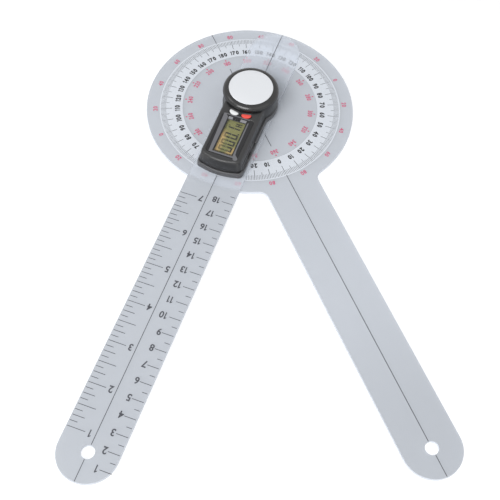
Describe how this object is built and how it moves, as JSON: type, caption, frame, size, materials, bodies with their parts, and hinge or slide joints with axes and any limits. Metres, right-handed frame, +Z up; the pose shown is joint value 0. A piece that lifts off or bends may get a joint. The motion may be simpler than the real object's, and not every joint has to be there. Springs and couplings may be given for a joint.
{
  "type": "goniometer",
  "caption": "Electronic goniometer: a frosted dial with a fixed arm, a ruler arm on a locking pivot, and a black reading head with display, push buttons and battery tray.",
  "frame": {"origin": "pivot axis at the underside the goniometer lies on", "axes": "+Z up along the pivot axis, -Y along the fixed arm towards its tip, +X to the right seen from above with the fixed arm towards the viewer"},
  "size_m": [0.2422, 0.3183, 0.0206],
  "materials": {
    "frosted": "frosted translucent",
    "case": "fine matte",
    "knob": "satin",
    "panel": "matte",
    "clear": "clear",
    "display": "polarised",
    "silver": "satin",
    "steel": "plain",
    "spring": "plain",
    "brass": "plain",
    "nylon": "plain",
    "rubber": "plain",
    "board": "laminate",
    "white": "plain",
    "red": "plain"
  },
  "bodies": {
    "base": {"base_plate": "frosted", "pivot_post": "steel", "drive_pin_1": "steel", "drive_pin_2": "steel", "encoder_rotor": "board", "rotor_clip": "spring"},
    "arm": {"ruler_arm": "frosted", "pivot_bush": "nylon", "lower_shell": "case", "upper_shell": "case", "face_panel": "panel", "window_lens": "clear", "lcd_glass": "display", "zebra_strip_1": "rubber", "zebra_strip_2": "rubber", "circuit_board": "board", "key_dome_1": "spring", "key_dome_2": "spring", "contact_plus": "spring", "contact_minus": "spring", "case_screw_1": "steel", "case_screw_2": "steel", "case_screw_3": "steel", "case_screw_4": "steel"},
    "tray": {"battery_tray": "case", "coin_cell": "steel"},
    "hold": {"hold_button": "white"},
    "power": {"power_button": "red"},
    "knob": {"lock_knob": "knob", "knob_disc": "silver", "knob_nut": "brass", "clamp_washer": "nylon"}
  },
  "joints": [
    {"name": "arm_swing", "type": "hinge", "parent": "base", "child": "arm", "pos_m": [0, 0, 0], "axis": [0, 0, 1], "continuous": true},
    {"name": "knob_turn", "type": "hinge", "parent": "base", "child": "knob", "pos_m": [0, 0, 0], "axis": [0, 0, 1], "range_deg": [0, 180]},
    {"name": "hold_press", "type": "slide", "parent": "arm", "child": "hold", "axis": [0, 0, -1], "range_m": [0, 0.0005], "stiffness_N_per_m": 400},
    {"name": "power_press", "type": "slide", "parent": "arm", "child": "power", "axis": [0, 0, -1], "range_m": [0, 0.0005], "stiffness_N_per_m": 400},
    {"name": "tray_slide", "type": "slide", "parent": "arm", "child": "tray", "axis": [0.7333, -0.68, 0], "range_m": [0, 0.026]}
  ]
}
